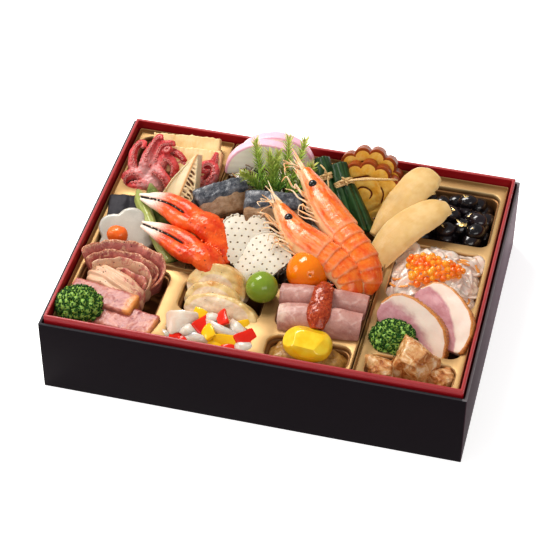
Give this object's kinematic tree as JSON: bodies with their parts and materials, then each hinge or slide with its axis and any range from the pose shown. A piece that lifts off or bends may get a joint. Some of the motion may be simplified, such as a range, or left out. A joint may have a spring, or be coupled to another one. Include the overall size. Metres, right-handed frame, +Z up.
{
  "type": "bento box meal",
  "caption": "New Year bento: an open black box with a red liner and gold foil trays, filled with shrimps, crab claws, sliced meats, vegetables, fish cakes, roe and beans.",
  "frame": {"origin": "middle of the box's underside", "axes": "+X along the front edge to the right, +Y from the front edge to the back, +Z up out of the open top"},
  "size_m": [0.27, 0.207, 0.0897],
  "materials": {
    "black_board": "black board with a faint purple cast",
    "red_lacquer": "glossy dark red",
    "gold_foil": "pale gold metallised film, mirror-like",
    "octopus": "wet crimson and pink skin",
    "bamboo": "cream with fibres, browned cut face on the tip",
    "konnyaku": "dark speckled jelly",
    "radish": "translucent grey-white",
    "carrot": "simmered orange-red",
    "green_stalk": "wet yellow-green to dark green",
    "pastrami": "brown-pink meat with cream fat and pepper",
    "ham": "dusty pink meat with browned ends",
    "broccoli": "dark green florets",
    "chicken": "cream slices with a browned skin edge",
    "pepper": "red and yellow pickled chunks with white onion",
    "plum": "glossy green",
    "squid": "ivory with rows of dark pricks",
    "crab": "orange-red shell with pale finger tips",
    "fish": "slate skin over tan flesh",
    "kamaboko": "pink skin over a white face",
    "sardine": "candied silver-brown small fish",
    "sprig": "green needles",
    "leaf": "dark green folded leaves tied with gold raffia",
    "egg_roll": "amber sponge with a brown skin",
    "roe_sac": "beige-yellow, finely grained",
    "bean": "glossy black with gold leaf",
    "salad": "pale shreds with orange strips",
    "salmon_roe": "clear orange beads",
    "duck": "pink-mauve meat with a browned edge",
    "glazed_meat": "brown glaze",
    "relish": "red-brown gloss",
    "tomato": "glossy orange",
    "chestnut": "glossy yellow",
    "mash": "khaki-yellow paste",
    "shrimp": "orange-banded shell"
  },
  "bodies": {
    "root": {"box_shell": "black_board", "box_liner": "red_lacquer", "tray_back_left": "gold_foil", "tray_front": "gold_foil", "tray_right": "gold_foil", "tray_centre": "gold_foil", "octopus_left": "octopus", "octopus_right": "octopus", "bamboo_slab_back": "bamboo", "bamboo_slab_front": "bamboo", "bamboo_tip": "bamboo", "konnyaku": "konnyaku", "radish_flower": "radish", "carrot_piece": "carrot", "stalk_left": "green_stalk", "stalk_right": "green_stalk", "pastrami_outer": "pastrami", "pastrami_middle": "pastrami", "pastrami_inner": "pastrami", "ham_stick_back": "ham", "ham_stick_front": "ham", "broccoli_left": "broccoli", "chicken_back": "chicken", "chicken_middle": "chicken", "chicken_front": "chicken", "pepper_mix": "pepper", "green_plum": "plum", "squid_back": "squid", "squid_front": "squid", "crab_claw_back": "crab", "crab_claw_front": "crab", "fish_left": "fish", "fish_right": "fish", "kamaboko_back": "kamaboko", "kamaboko_front": "kamaboko", "sardine_heap": "sardine", "sprigs": "sprig", "leaf_parcel_left": "leaf", "leaf_parcel_right": "leaf", "datemaki_back": "egg_roll", "datemaki_front": "egg_roll", "herring_roe_back": "roe_sac", "herring_roe_front": "roe_sac", "black_beans": "bean", "salad_heap": "salad", "salmon_roe": "salmon_roe", "duck_back": "duck", "duck_front": "duck", "broccoli_right": "broccoli", "meat_left": "glazed_meat", "meat_middle": "glazed_meat", "meat_right": "glazed_meat", "ham_roll_back": "ham", "ham_roll_front": "ham", "tomato_relish": "relish", "tomato": "tomato", "chestnut": "chestnut", "sweet_potato_mash": "mash", "shrimp_back": "shrimp", "shrimp_front": "shrimp"}
  },
  "joints": []
}
